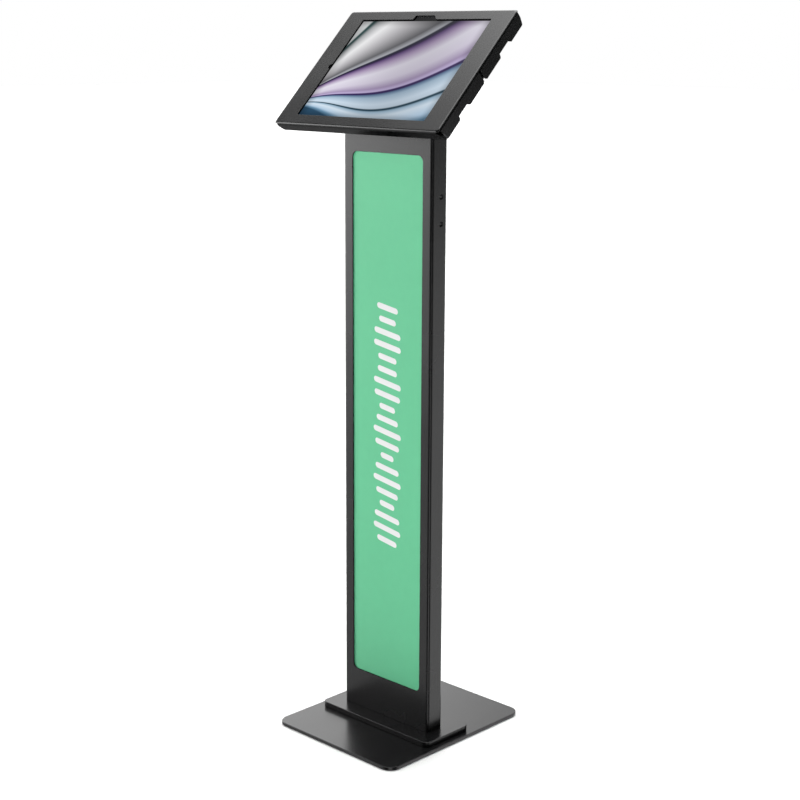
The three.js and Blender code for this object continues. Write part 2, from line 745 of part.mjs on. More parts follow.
function lockNutRing() {
  const { radius, bore, low, high } = lockNut;
  const hole = rod(bore, low - OVER, high + OVER, lock.x, lock.y);
  return cut(rod(radius, low, high, lock.x, lock.y, 6), hole);
}

function lockBarrel() {
  const { proud, half, reach, depth } = keyhole;
  const { x, y } = lock;
  const face = trayBack - GAP - proud;
  const barrel = rod(lock.barrel, face, cam.low - cam.play, x, y, 20);
  const keyway = block([x - half, y - reach, face - OVER], [x + half, y + reach, face + depth]);
  return cut(barrel, keyway);
}

// The cam points down the slope when the cover is free, and to the side when it is locked
function lockCam() {
  const half = cam.width / 2;
  const hub = rod(cam.hub, cam.low, cam.high, lock.x, lock.y);
  const arm = block([lock.x - half, lock.y - cam.reach, cam.low], [lock.x + half, lock.y, cam.high]);
  return join(hub, arm);
}

function camScrew() {
  const { radius, height, slotHalf, slotReach, slotFloor } = camBolt;
  const { x, y } = lock;
  const low = cam.high + GAP;
  const slot = block(
    [x - slotReach, y - slotHalf, cam.high + slotFloor],
    [x + slotReach, y + slotHalf, low + height + OVER],
  );
  return cut(rod(radius, low, low + height, x, y, 20), slot);
}

// A lip on the cover that the cam turns in front of
function catchOnCover() {
  const { inner, low, high, foot: footTopEdge, half, sheet } = lockCatch;
  const outer = halfHead - SHEET - GAP - coverLeafSpan.off;
  const lip = block([inner, lock.y - half, low], [outer, lock.y + half, high]);
  const footPlate = block([outer - sheet, lock.y - half, low], [outer, lock.y + half, footTopEdge]);
  return join(lip, footPlate);
}

const kiosk = new THREE.Group();
const headGroup = new THREE.Group();
headGroup.position.set(0, head.edgeY, head.edgeZ);
headGroup.rotation.x = tilt;
kiosk.add(headGroup);

function buildStand() {
  const padX = base.width / 2 - pad.inset;
  const padY = base.depth / 2 - pad.inset;
  const corners = [[-padX, -padY], [padX, -padY], [-padX, padY], [padX, padY]];
  corners.forEach(([x, y], i) => {
    add(kiosk, `foot_pad_${i + 1}`, rod(pad.radius, 0, pad.height, x, y), rubber);
  });
  add(kiosk, "base_plate", basePlate(), plateCoat);
  add(kiosk, "foot_flange", footFlange(), plateCoat);
  baseBoltPlaces().forEach(([x, y], i) => {
    add(kiosk, `base_bolt_${i + 1}`, baseBoltAt(x, y), darkSteel);
  });
  add(kiosk, "column_tube", columnTube(), powderCoat);
  add(kiosk, "graphic_panel", graphicPanel(), greenPanel);
  add(kiosk, "panel_rail_left", panelRail(-1), plainSteel);
  add(kiosk, "panel_rail_right", panelRail(1), plainSteel);
  Object.entries(sideHole.heights).forEach(([name, height]) => {
    add(kiosk, `accessory_nut_${name}`, weldNut(height), darkSteel);
  });
  add(kiosk, "column_grommet", columnGrommet(), rubber);
  add(kiosk, "column_cap", columnCap(), powderCoat);
  add(kiosk, "bracket_screw_left", bracketScrewAt(-1), darkSteel);
  add(kiosk, "bracket_screw_right", bracketScrewAt(1), darkSteel);
}

function buildEnclosure() {
  add(headGroup, "head_bracket", headBracket(), powderCoat);
  vesaPlaces().forEach(([x, y], i) => {
    add(headGroup, `vesa_screw_${i + 1}`, vesaScrewAt(x, y), darkSteel);
  });
  add(headGroup, "enclosure_back", enclosureBack(), powderCoat);
  add(headGroup, "enclosure_grommet", enclosureGrommet(), rubber);
  add(headGroup, "foam_support", foamSupport(), foam);
  add(headGroup, "corner_pad_lower_left", cornerPad(-1, false), foam);
  add(headGroup, "corner_pad_lower_right", cornerPad(1, false), foam);
  add(headGroup, "corner_pad_upper_left", cornerPad(-1, true), foam);
  add(headGroup, "corner_pad_upper_right", cornerPad(1, true), foam);
  add(headGroup, "hinge_leaf_fixed", fixedLeaf(), darkSteel);
  add(headGroup, "hinge_pin", hingePin(), plainSteel);
  add(headGroup, "lock_housing", lockHousing(), chromed);
  add(headGroup, "lock_nut", lockNutRing(), plainSteel);
}

function buildTablet() {
  add(headGroup, "tablet_housing", tabletHousing(), aluminium);
  add(headGroup, "tablet_screen", tabletScreen(), displayGlass);
  add(headGroup, "tablet_cell_left", tabletCell(-1), cellPouch);
  add(headGroup, "tablet_cell_right", tabletCell(1), cellPouch);
  add(headGroup, "tablet_board", tabletBoard(), boardGreen);
  add(headGroup, "front_camera", frontCamera(), lensBlack);
  add(headGroup, "power_button", powerButton(), aluminium);
  add(headGroup, "volume_button", volumeButton(), aluminium);
}

function buildCover() {
  add(headGroup, "front_cover", frontCover(), powderCoat);
  add(headGroup, "hinge_leaf_cover", coverLeaf(), darkSteel);
  add(headGroup, "lock_catch", catchOnCover(), plainSteel);
  add(headGroup, "lock_barrel", lockBarrel(), chromed);
  add(headGroup, "lock_cam", lockCam(), plainSteel);
  add(headGroup, "cam_screw", camScrew(), darkSteel);
}

buildStand();
buildEnclosure();
buildTablet();
buildCover();

export default kiosk;
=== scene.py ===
import json
import math

import bmesh
import bpy
import numpy as np
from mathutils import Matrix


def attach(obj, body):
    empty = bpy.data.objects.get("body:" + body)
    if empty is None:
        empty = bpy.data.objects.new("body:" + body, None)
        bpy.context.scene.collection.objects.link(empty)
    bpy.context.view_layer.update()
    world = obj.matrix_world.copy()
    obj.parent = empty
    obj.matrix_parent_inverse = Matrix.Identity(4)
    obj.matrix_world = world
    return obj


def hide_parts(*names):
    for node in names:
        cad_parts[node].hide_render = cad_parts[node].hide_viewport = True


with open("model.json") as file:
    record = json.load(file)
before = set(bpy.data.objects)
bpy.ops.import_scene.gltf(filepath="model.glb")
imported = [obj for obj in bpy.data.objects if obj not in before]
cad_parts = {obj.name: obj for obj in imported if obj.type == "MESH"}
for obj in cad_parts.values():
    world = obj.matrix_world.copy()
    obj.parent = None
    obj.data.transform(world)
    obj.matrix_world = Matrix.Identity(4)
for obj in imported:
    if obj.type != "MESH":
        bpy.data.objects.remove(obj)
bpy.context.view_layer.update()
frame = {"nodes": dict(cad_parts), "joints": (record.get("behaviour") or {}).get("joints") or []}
nodes = frame["nodes"]
joints = {joint["name"]: joint for joint in frame["joints"]}
mm = 0.001
print("frame loaded:", len(nodes), "nodes")


def nodePoints(name):
    # every vertex of a node as one array
    mesh = nodes[name].data
    points = np.zeros(len(mesh.vertices) * 3, np.float32)
    mesh.vertices.foreach_get("co", points)
    return points.reshape(-1, 3).astype(float)


# the head's own directions: across, up the slope, and straight out of the face
across = np.array([1.0, 0.0, 0.0])
outward = np.array(joints["lock_turn"]["axis"])
outward /= np.linalg.norm(outward)
upSlope = np.cross(outward, across)
coverSlope = nodePoints("front_cover") @ upSlope
faceLevel = (nodePoints("front_cover") @ outward).max()
faceMiddle = (coverSlope.min() + coverSlope.max()) / 2
faceCentre = upSlope * faceMiddle + outward * faceLevel
headAxes = np.stack([across, upSlope, outward])
headTilt = math.atan2(-outward[1], outward[2])


def inHead(points):
    # head coordinates in millimetres from the face's middle, turned and moved to the frame
    return faceCentre + np.asarray(points, float) * mm @ headAxes


def inStand(points):
    # the frame's own coordinates, given in millimetres
    return np.asarray(points, float) * mm


def headSpot(name):
    # the middle, low and high corners of a node's box in head coordinates, in millimetres
    local = (nodePoints(name) - faceCentre) @ headAxes.T / mm
    return (local.min(0) + local.max(0)) / 2, local.min(0), local.max(0)


def standSpot(name):
    # the middle, low and high corners of a node's box in the frame's axes, in millimetres
    local = nodePoints(name) / mm
    return (local.min(0) + local.max(0)) / 2, local.min(0), local.max(0)


cameraPlace = {
    "location": (1.6666, -1.7252, 1.0786),
    "turn": 44.11,  # degrees to the left of +Y
    "pitch": 12.83,  # degrees down
    "roll": -0.25,
    "lens": 71.17,
}


def makeCamera(place):
    # the lens points level and ahead at no turn, then takes its turn, pitch and roll
    data = bpy.data.cameras.new("viewCamera")
    data.lens = place["lens"]
    data.sensor_width = 36
    data.clip_start = 0.05
    data.clip_end = 100
    camera = bpy.data.objects.new("viewCamera", data)
    camera.location = place["location"]
    turn, pitch, roll = (math.radians(place[key]) for key in ("turn", "pitch", "roll"))
    camera.rotation_euler = (math.pi / 2 - pitch, roll, turn)
    bpy.context.scene.collection.objects.link(camera)
    bpy.context.scene.camera = camera


makeCamera(cameraPlace)
bpy.context.scene.view_settings.view_transform = "Standard"
bpy.context.scene.view_settings.look = "None"

# soft boxes painted into the studio's surroundings: where they stand, how wide and how bright,
# and the light that comes up from the floor, which starts at these depths below the horizon
studio = {
    "ambient": 0.04,
    "backdrop": 1.0,
    "below": (-9.0, -8.0),  # every direction lies above these heights, so all of them get the ambient
    "boxes": [
        {"toward": (-0.17, 0.22, 0.96), "inner": 20, "outer": 41, "power": 5.0},  # overhead
        {"toward": (-0.86, 0.40, 0.33), "inner": 8, "outer": 34, "power": 2.45},  # back left
        {"toward": (-0.88, -0.46, 0.11), "inner": 10, "outer": 25, "power": 6.0},  # front left
        {"toward": (-0.70, -0.68, -0.25), "inner": 10, "outer": 45, "power": 0.7},  # floor, front left
        {"toward": (0.70, -0.68, -0.42), "inner": 5, "outer": 19, "power": 2.0},  # floor, in front
        {"toward": (-0.68, 0.22, -0.70), "inner": 15, "outer": 40, "power": 0.14},  # under the head
    ],
    "bounces": [
        {"toward": (0.40, 0.92, 0.0), "inner": 30, "outer": 75, "power": 1.3, "from": 0.06, "to": 0.14},
    ],
}
floor = {"halfSize": 30.0, "colour": (0.9, 0.9, 0.9, 1)}


def makeSurroundings(light):
    # brightness in a direction = the sum of every box's power, faded between its two angles
    world = bpy.data.worlds.new("studio")
    bpy.context.scene.world = world
    world.use_nodes = True
    tree = world.node_tree
    tree.nodes.clear()
    direction = tree.nodes.new("ShaderNodeTexCoord").outputs["Generated"]
    height = tree.nodes.new("ShaderNodeSeparateXYZ")
    tree.links.new(direction, height.inputs["Vector"])

    def fade(value, low, high, power):
        node = tree.nodes.new("ShaderNodeMapRange")
        node.interpolation_type = "SMOOTHERSTEP"
        node.inputs["From Min"].default_value = low
        node.inputs["From Max"].default_value = high
        node.inputs["To Max"].default_value = power
        tree.links.new(value, node.inputs["Value"])
        return node.outputs["Result"]

    def join(operation, first, second):
        node = tree.nodes.new("ShaderNodeMath")
        node.operation = operation
        tree.links.new(first, node.inputs[0])
        tree.links.new(second, node.inputs[1])
        return node.outputs["Value"]

    total = fade(height.outputs["Z"], *light["below"], light["ambient"])
    for box in light["boxes"] + light["bounces"]:
        facing = tree.nodes.new("ShaderNodeVectorMath")
        facing.operation = "DOT_PRODUCT"
        facing.inputs[1].default_value = np.array(box["toward"]) / np.linalg.norm(box["toward"])
        tree.links.new(direction, facing.inputs[0])
        edges = [math.cos(math.radians(box[key])) for key in ("outer", "inner")]
        shine = fade(facing.outputs["Value"], *edges, box["power"])
        if "from" in box:
            below = fade(height.outputs["Z"], -box["from"], -box["to"], 1.0)
            shine = join("MULTIPLY", shine, below)
        total = join("ADD", total, shine)
    lit = tree.nodes.new("ShaderNodeBackground")
    tree.links.new(total, lit.inputs["Strength"])
    plain = tree.nodes.new("ShaderNodeBackground")
    plain.inputs["Strength"].default_value = light["backdrop"]
    for background in (lit, plain):
        background.inputs["Color"].default_value = (1, 1, 1, 1)
    path = tree.nodes.new("ShaderNodeLightPath")
    choose = tree.nodes.new("ShaderNodeMixShader")
    tree.links.new(path.outputs["Is Camera Ray"], choose.inputs["Fac"])
    tree.links.new(lit.outputs["Background"], choose.inputs[1])
    tree.links.new(plain.outputs["Background"], choose.inputs[2])
    output = tree.nodes.new("ShaderNodeOutputWorld")
    tree.links.new(choose.outputs["Shader"], output.inputs["Surface"])


def makeFloor(size):
    # one flat square, left out of reflections so that the coating mirrors the soft boxes alone
    half = size["halfSize"]
    corners = [(-half, -half, 0), (half, -half, 0), (half, half, 0), (-half, half, 0)]
    mesh = bpy.data.meshes.new("studioFloor")
    mesh.from_pydata(corners, [], [(0, 1, 2, 3)])
    obj = bpy.data.objects.new("studioFloor", mesh)
    bpy.context.scene.collection.objects.link(obj)
    obj.visible_glossy = False
    material = bpy.data.materials.new("paleFloor")
    material.use_nodes = True
    shader = material.node_tree.nodes["Principled BSDF"]
    shader.inputs["Base Color"].default_value = size["colour"]
    shader.inputs["Roughness"].default_value = 0.9
    shader.inputs["Specular IOR Level"].default_value = 0.0
    mesh.materials.append(material)


makeSurroundings(studio)
makeFloor(floor)
print("studio made")


class Finish:
    # one material: its node tree, its shader and short ways to add patterns

    def __init__(self, name, colour, roughness, metallic=0.0):
        self.material = bpy.data.materials.new(name)
        self.material.use_nodes = True
        self.tree = self.material.node_tree
        self.shader = self.tree.nodes["Principled BSDF"]
        self.shader.inputs["Base Color"].default_value = (*colour, 1)
        self.shader.inputs["Roughness"].default_value = roughness
        self.shader.inputs["Metallic"].default_value = metallic
        self.place = self.tree.nodes.new("ShaderNodeTexCoord").outputs["Object"]

    def put(self, value, socket):
        if isinstance(value, (int, float, tuple)):
            socket.default_value = value
        else:
            self.tree.links.new(value, socket)

    def math(self, operation, first, second=0.0, third=0.0):
        node = self.tree.nodes.new("ShaderNodeMath")
        node.operation = operation
        for value, socket in zip((first, second, third), node.inputs):
            self.put(value, socket)
        return node.outputs["Value"]

    def mapped(self, scale=(1.0, 1.0, 1.0), turn=(0.0, 0.0, 0.0), move=(0.0, 0.0, 0.0)):
        node = self.tree.nodes.new("ShaderNodeMapping")
        node.inputs["Location"].default_value = move
        node.inputs["Rotation"].default_value = turn
        node.inputs["Scale"].default_value = scale
        self.tree.links.new(self.place, node.inputs["Vector"])
        return node.outputs["Vector"]

    def noise(self, scale, detail=2.0, roughness=0.5, place=None):
        node = self.tree.nodes.new("ShaderNodeTexNoise")
        node.inputs["Scale"].default_value = scale
        node.inputs["Detail"].default_value = detail
        node.inputs["Roughness"].default_value = roughness
        self.tree.links.new(place or self.place, node.inputs["Vector"])
        return node.outputs["Fac"]

    def spread(self, value, low, high, fromLow=0.0, fromHigh=1.0, smooth=False):
        node = self.tree.nodes.new("ShaderNodeMapRange")
        if smooth:
            node.interpolation_type = "SMOOTHSTEP"
        self.put(value, node.inputs["Value"])
        node.inputs["From Min"].default_value = fromLow
        node.inputs["From Max"].default_value = fromHigh
        node.inputs["To Min"].default_value = low
        node.inputs["To Max"].default_value = high
        return node.outputs["Result"]

    def blend(self, share, first, second, mode="MIX"):
        node = self.tree.nodes.new("ShaderNodeMix")
        node.data_type = "RGBA"
        node.blend_type = mode
        colours = [socket for socket in node.inputs if socket.type == "RGBA"]
        self.put(share, node.inputs["Factor"])
        for value, socket in zip((first, second), colours):
            self.put((*value, 1) if isinstance(value, tuple) else value, socket)
        return [socket for socket in node.outputs if socket.type == "RGBA"][0]

    def ramp(self, value, stops):
        node = self.tree.nodes.new("ShaderNodeValToRGB")
        elements = node.color_ramp.elements
        while len(elements) > 1:
            elements.remove(elements[0])
        elements[0].position, elements[0].color = stops[0][0], (*stops[0][1], 1)
        for position, colour in stops[1:]:
            elements.new(position).color = (*colour, 1)
        self.put(value, node.inputs["Fac"])
        return node.outputs["Color"]

    def bump(self, height, depth, strength=1.0, under=None):
        node = self.tree.nodes.new("ShaderNodeBump")
        node.inputs["Distance"].default_value = depth
        node.inputs["Strength"].default_value = strength
        self.put(height, node.inputs["Height"])
        if under:
            self.tree.links.new(under, node.inputs["Normal"])
        return node.outputs["Normal"]

    def set(self, **inputs):
        for name, value in inputs.items():
            socket = self.shader.inputs[socketNames[name]]
            self.put((*value, 1) if isinstance(value, tuple) else value, socket)
        return self


socketNames = {
    "colour": "Base Color",
    "roughness": "Roughness",
    "normal": "Normal",
    "specular": "Specular IOR Level",
    "coat": "Coat Weight",
    "coatRoughness": "Coat Roughness",
    "glow": "Emission Color",
    "glowPower": "Emission Strength",
    "sheen": "Sheen Weight",
}


powderCoat = {
    "dark": (0.0040, 0.0042, 0.0045),
    "light": (0.0058, 0.0060, 0.0064),
    "smooth": 0.23,
    "rough": 0.29,
    "cloud": 9,
    "peel": 900,
    "depth": 0.000007,
}
plateCoat = {
    "dark": (0.0040, 0.0041, 0.0044),
    "light": (0.0056, 0.0057, 0.0060),
    "smooth": 0.21,
    "rough": 0.27,
    "cloud": 9,
    "peel": 1100,
    "depth": 0.000006,
}


def coated(name, look):
    # baked powder coat: the bump is coarse peel plus 0.35 of a grain four times finer, and a wide
    # cloud picks the tone and the roughness
    made = Finish(name, look["dark"], look["rough"])
    cloud = made.noise(look["cloud"], 3)
    speck = made.noise(look["peel"] * 4, 1)
    tone = made.blend(made.spread(cloud, 0, 1, 0.35, 0.65), look["dark"], look["light"])
    grain = made.math("MULTIPLY_ADD", speck, 0.35, made.noise(look["peel"], 2))
    made.set(colour=tone, roughness=made.spread(cloud, look["smooth"], look["rough"], 0.3, 0.7))
    return made.set(normal=made.bump(grain, look["depth"])).material


zincPlate = {
    "dark": (0.42, 0.43, 0.45),
    "light": (0.55, 0.56, 0.56),
    "rough": 0.32,
    "depth": 0.000004,
    "metallic": 0.9,
}
blackOxide = {
    "dark": (0.018, 0.018, 0.02),
    "light": (0.035, 0.034, 0.034),
    "rough": 0.38,
    "depth": 0.000006,
    "metallic": 0.5,
}
chrome = {
    "dark": (0.62, 0.63, 0.65),
    "light": (0.68, 0.69, 0.70),
    "rough": 0.14,
    "depth": 0.000001,
    "metallic": 1.0,
}


def machinedSteel(name, look):
    # plated or blackened steel: fine directionless grain, and patches that move the roughness by a fifth
    dark, light, rough, depth = look["dark"], look["light"], look["rough"], look["depth"]
    made = Finish(name, dark, rough, look["metallic"])
    patch = made.noise(60, 4, 0.6)
    grain = made.noise(1600, 2)
    tone = made.blend(made.spread(patch, 0, 1, 0.35, 0.65), dark, light)
    made.set(colour=tone, roughness=made.spread(patch, rough * 0.8, rough * 1.2))
    return made.set(normal=made.bump(grain, depth)).material


anodised = {
    "dark": (0.085, 0.087, 0.092),
    "light": (0.11, 0.112, 0.118),
    "rough": 0.34,
    "lines": (60, 1400, 1400),  # noise cells a metre along each axis: long across, fine the other ways
}


def brushedMetal(name, look):
    # fine lines drawn out along one direction: noise stretched by the ratio of its cell counts
    dark, light, rough = look["dark"], look["light"], look["rough"]
    made = Finish(name, dark, rough, 0.95)
    lines = made.noise(1, 3, 0.6, made.mapped(look["lines"]))
    tone = made.blend(made.spread(lines, 0, 1, 0.3, 0.7), dark, light)
    made.set(colour=tone, roughness=made.spread(lines, rough * 0.85, rough * 1.15))
    return made.set(normal=made.bump(lines, 0.000004)).material


def mouldedRubber(name, tone):
    # dull rubber: a fine grain in relief, and a wide one that lifts the tone and the roughness
    made = Finish(name, tone, 0.7)
    fine = made.noise(2200, 2)
    wide = made.noise(120, 3)
    made.set(colour=made.blend(wide, tone, tuple(value * 1.8 for value in tone)))
    made.set(roughness=made.spread(wide, 0.6, 0.85), specular=0.3)
    return made.set(normal=made.bump(fine, 0.00002)).material


def closedFoam(name, tone):
    # closed-cell foam: a skin of tiny pits, deepest at the middle of each cell, where the colour is
    # darkened as painted shade
    made = Finish(name, tone, 0.95)
    cells = made.tree.nodes.new("ShaderNodeTexVoronoi")
    cells.inputs["Scale"].default_value = 900
    made.tree.links.new(made.place, cells.inputs["Vector"])
    pits = made.spread(cells.outputs["Distance"], 1, 0, 0.1, 0.6)
    # painted shade in the pits: the colour is darkest at each cell's middle and lighter at its rim
    made.set(colour=made.blend(pits, tuple(value * 2.2 for value in tone), tone))
    made.set(roughness=made.spread(pits, 0.85, 1.0), specular=0.15)
    return made.set(normal=made.bump(pits, 0.0002)).material


def circuitBoard(name):
    # green lacquer with lighter tracks where stretched noise passes its middle value
    made = Finish(name, (0.01, 0.05, 0.03), 0.5)
    tracks = made.noise(400, 0, 0.5, made.mapped((1, 0.08, 0.08)))
    lines = made.spread(tracks, 0, 1, 0.52, 0.56)
    return made.set(colour=made.blend(lines, (0.008, 0.045, 0.025), (0.02, 0.12, 0.06))).material


def pouchFilm(name):
    # wrinkled foil: one noise gives both the creases and the changing gloss
    made = Finish(name, (0.02, 0.02, 0.022), 0.35)
    creases = made.noise(150, 3)
    made.set(roughness=made.spread(creases, 0.25, 0.5))
    return made.set(normal=made.bump(creases, 0.0002)).material


# printed graphic: a green ground with a white column of rounded bars, like a sound track
graphic = {
    "green": (0.135, 0.605, 0.319),
    "greenDeep": (0.126, 0.578, 0.302),
    "white": (0.86, 0.86, 0.86),
    "bars": 20,
    "low": 300,
    "high": 690,
    "stroke": 9.0,
    "shortest": 9.0,
    "reach": 25.0,
    "slant": 0.16,
    "turn": 0.83,  # radians of the wave from one bar to the next
    "start": 0.5,
    "softEdge": 0.12,
}


def printedPanel(name, look):
    # bar k is as long as shortest + (reach - shortest) * |sin(turn * k + start)|, with round ends; ink
    # lies where the distance to the bar's middle line is less than half its stroke
    made = Finish(name, look["green"], 0.42)
    axes = made.tree.nodes.new("ShaderNodeSeparateXYZ")
    made.tree.links.new(made.mapped((1 / mm,) * 3), axes.inputs["Vector"])
    side, height = axes.outputs["X"], axes.outputs["Z"]
    pitch = (look["high"] - look["low"]) / look["bars"]
    sheared = made.math("MULTIPLY_ADD", side, look["slant"], height)
    step = made.math("DIVIDE", made.math("SUBTRACT", sheared, look["low"]), pitch)
    number = made.math("FLOOR", step)
    above = made.math("MULTIPLY", made.math("SUBTRACT", made.math("FRACT", step), 0.5), pitch)
    phase = made.math("MULTIPLY_ADD", number, look["turn"], look["start"])
    wave = made.math("ABSOLUTE", made.math("SINE", phase))
    half = made.math("MULTIPLY_ADD", wave, look["reach"] - look["shortest"], look["shortest"])
    past = made.math("MAXIMUM", made.math("SUBTRACT", made.math("ABSOLUTE", side), half), 0.0)
    squares = made.math("ADD", made.math("MULTIPLY", past, past), made.math("MULTIPLY", above, above))
    gap = made.math("SUBTRACT", made.math("SQRT", squares), look["stroke"] / 2)
    ink = made.spread(gap, 1, 0, -look["softEdge"], look["softEdge"])
    inside = made.math(
        "MULTIPLY",
        made.math("GREATER_THAN", step, 0.0),
        made.math("LESS_THAN", step, float(look["bars"])),
    )
    fibre = made.noise(70, 3)
    ground = made.blend(fibre, look["green"], look["greenDeep"])
    made.set(colour=made.blend(made.math("MULTIPLY", ink, inside), ground, look["white"]))
    made.set(roughness=made.spread(fibre, 0.38, 0.5), specular=0.35)
    return made.set(normal=made.bump(made.noise(900, 2), 0.00001)).material


# the lit display: silky folds that fan out from the lower left, inside a black border
display = {
    "middle": (1.1, -1.0, 0.0),  # from the window's middle
    "halfWidth": 131.4,
    "halfHeight": 98.4,
    "power": 0.95,
    "fanStart": (-1.35, -1.05),  # beyond the lower left corner, in halves of the picture
    "fanTurn": 1.45,
    "waveLength": 2.1,
    "waveStart": 0.9,
    "waveHeight": 0.24,
    "sheenLength": 2.6,
    "sheenStart": 0.4,
    "sheenDepth": 0.16,
    "sheenLevel": 0.86,
    "rolled": 0.86,  # where the picture starts to darken towards its edges
    "rolledTo": 0.62,  # what is left of its brightness at the very edge
    "shownTo": 0.997,
    "folds": [
        (0.00, (0.02, 0.07, 0.13)),
        (0.05, (0.14, 0.28, 0.42)),
        (0.09, (0.48, 0.64, 0.80)),
        (0.15, (0.70, 0.82, 0.93)),
        (0.185, (0.34, 0.50, 0.64)),
        (0.196, (0.01, 0.05, 0.08)),
        (0.206, (0.01, 0.05, 0.08)),
        (0.214, (0.58, 0.70, 0.82)),
        (0.25, (0.66, 0.79, 0.92)),
        (0.31, (0.40, 0.54, 0.68)),
        (0.335, (0.12, 0.20, 0.34)),
        (0.345, (0.03, 0.01, 0.09)),
        (0.357, (0.04, 0.02, 0.12)),
        (0.364, (0.60, 0.50, 0.78)),
        (0.39, (0.40, 0.31, 0.50)),
        (0.45, (0.72, 0.67, 0.80)),
        (0.52, (0.80, 0.77, 0.87)),
        (0.57, (0.44, 0.34, 0.52)),
        (0.60, (0.14, 0.08, 0.22)),
        (0.612, (0.02, 0.01, 0.05)),
        (0.625, (0.02, 0.02, 0.04)),
        (0.633, (0.45, 0.46, 0.50)),
        (0.66, (0.13, 0.13, 0.14)),
        (0.74, (0.52, 0.51, 0.53)),
        (0.81, (0.86, 0.86, 0.87)),
        (0.865, (0.38, 0.39, 0.40)),
        (0.885, (0.02, 0.06, 0.06)),
        (0.897, (0.02, 0.06, 0.06)),
        (0.905, (0.60, 0.63, 0.63)),
        (0.95, (0.80, 0.80, 0.81)),
        (1.00, (0.62, 0.62, 0.63)),
    ],
}


def litDisplay(name, look):
    # colour = the folds' ramp at the angle round the fan's start; brightness = a slow sine across it,
    # rolled off near the four edges and cut to black beyond them
    made = Finish(name, (0.004, 0.004, 0.005), 0.06)
    turned = made.tree.nodes.new("ShaderNodeMapping")
    turned.vector_type = "TEXTURE"  # takes the head's tilt and place away again
    turned.inputs["Location"].default_value = inHead(look["middle"])
    turned.inputs["Rotation"].default_value = (headTilt, 0, 0)
    turned.inputs["Scale"].default_value = (mm, mm, mm)
    made.tree.links.new(made.place, turned.inputs["Vector"])
    axes = made.tree.nodes.new("ShaderNodeSeparateXYZ")
    made.tree.links.new(turned.outputs["Vector"], axes.inputs["Vector"])
    right = made.math("DIVIDE", axes.outputs["X"], look["halfWidth"])
    high = made.math("DIVIDE", axes.outputs["Y"], look["halfHeight"])
    # angle of the line from the fan's start, bent by a slow wave, picks the colour
    bend = made.math("SINE", made.math("MULTIPLY_ADD", right, look["waveLength"], look["waveStart"]))
    lift = made.math("MULTIPLY_ADD", bend, look["waveHeight"], high)
    run = made.math("SUBTRACT", right, look["fanStart"][0])
    rise = made.math("SUBTRACT", lift, look["fanStart"][1])
    fan = made.math("DIVIDE", made.math("ARCTAN2", rise, run), look["fanTurn"])
    silk = made.ramp(fan, look["folds"])
    sway = made.math("SINE", made.math("MULTIPLY_ADD", run, look["sheenLength"], look["sheenStart"]))
    shade = made.math("MULTIPLY_ADD", sway, look["sheenDepth"], look["sheenLevel"])
    for value in (right, high):
        size = made.math("ABSOLUTE", value)
        rolled = made.spread(size, 1, look["rolledTo"], look["rolled"], 1.0, smooth=True)
        shown = made.spread(size, 1, 0, look["shownTo"], 1.0)
        shade = made.math("MULTIPLY", shade, made.math("MULTIPLY", rolled, shown))
    lit = made.blend(1.0, silk, made.blend(shade, (0.0, 0.0, 0.0), (1.0, 1.0, 1.0)), "MULTIPLY")
    glint = made.noise(14, 2, 0.4, turned.outputs["Vector"])
    made.set(glow=lit, glowPower=look["power"], specular=0.05)
    made.set(roughness=made.spread(glint, 0.05, 0.08))
    return made.set(normal=made.bump(made.noise(300, 1), 0.000001)).material


finishes = {
    "coated_steel": coated("powderCoat", powderCoat),
    "coated_plate": coated("plateCoat", plateCoat),
    "green_panel": printedPanel("printedGreen", graphic),
    "zinc_steel": machinedSteel("zincPlate", zincPlate),
    "black_steel": machinedSteel("blackOxide", blackOxide),
    "lock_chrome": machinedSteel("chrome", chrome),
    "black_rubber": mouldedRubber("rubber", (0.012, 0.012, 0.012)),
    "black_foam": closedFoam("foam", (0.012, 0.012, 0.014)),
    "tablet_aluminium": brushedMetal("anodised", anodised),
    "screen_glass": litDisplay("display", display),
    "cell_pouch": pouchFilm("pouch"),
    "circuit_board": circuitBoard("board"),
}
print("finishes made:", len(finishes))


def roundedLoop(halfX, halfY, radius, middle=(0.0, 0.0), steps=12):
    # a quarter circle of this radius at each corner of a rectangle, joined by straight sides
    quarter = np.linspace(0, math.pi / 2, steps + 1)
    angle = quarter[None, :] + np.arange(4)[:, None] * math.pi / 2
    x = np.array([1, -1, -1, 1])[:, None] * (halfX - radius) + radius * np.cos(angle)
    y = np.array([1, 1, -1, -1])[:, None] * (halfY - radius) + radius * np.sin(angle)
    return np.stack([x + middle[0], y + middle[1]], -1).reshape(-1, 2)


def level(loop, height):
    # a flat loop lifted to one height
    return np.column_stack([loop, np.full(len(loop), float(height))])


def turnedRows(profile, steps=48):
    # each (radius, height, sides) is a circle, or a polygon whose corners lie on that circle
    angle = np.arange(steps) * 2 * math.pi / steps
    rows = []
    for radius, height, *sides in profile:
        reach = np.full(steps, float(radius))
        if sides:
            part = 2 * math.pi / sides[0]
            reach = radius * math.cos(part / 2) / np.cos(np.mod(angle, part) - part / 2)
        rows.append(level(np.column_stack([reach * np.cos(angle), reach * np.sin(angle)]), height))
    return np.array(rows)


def layAlong(rows, axis, spot=(0.0, 0.0, 0.0)):
    # the rows' own axis turned to lie along x or y, or left along z, then moved to a spot
    x, y, z = np.moveaxis(np.asarray(rows, float), -1, 0)
    turned = {"x": (z, y, -x), "y": (x, z, -y), "z": (x, y, z)}[axis]
    return np.stack(turned, -1) + np.asarray(spot, float)


def prism(corners, axis, low, high):
    # an outline carried straight along an axis; it is drawn in the two other axes, in their order
    first, second = np.asarray(corners, float).T
    rows = []
    for reach in (low, high):
        along = np.full(len(first), float(reach))
        ways = {"x": (along, first, second), "y": (first, along, second), "z": (first, second, along)}
        rows.append(ways[axis])
    return np.moveaxis(np.array(rows), 1, -1)


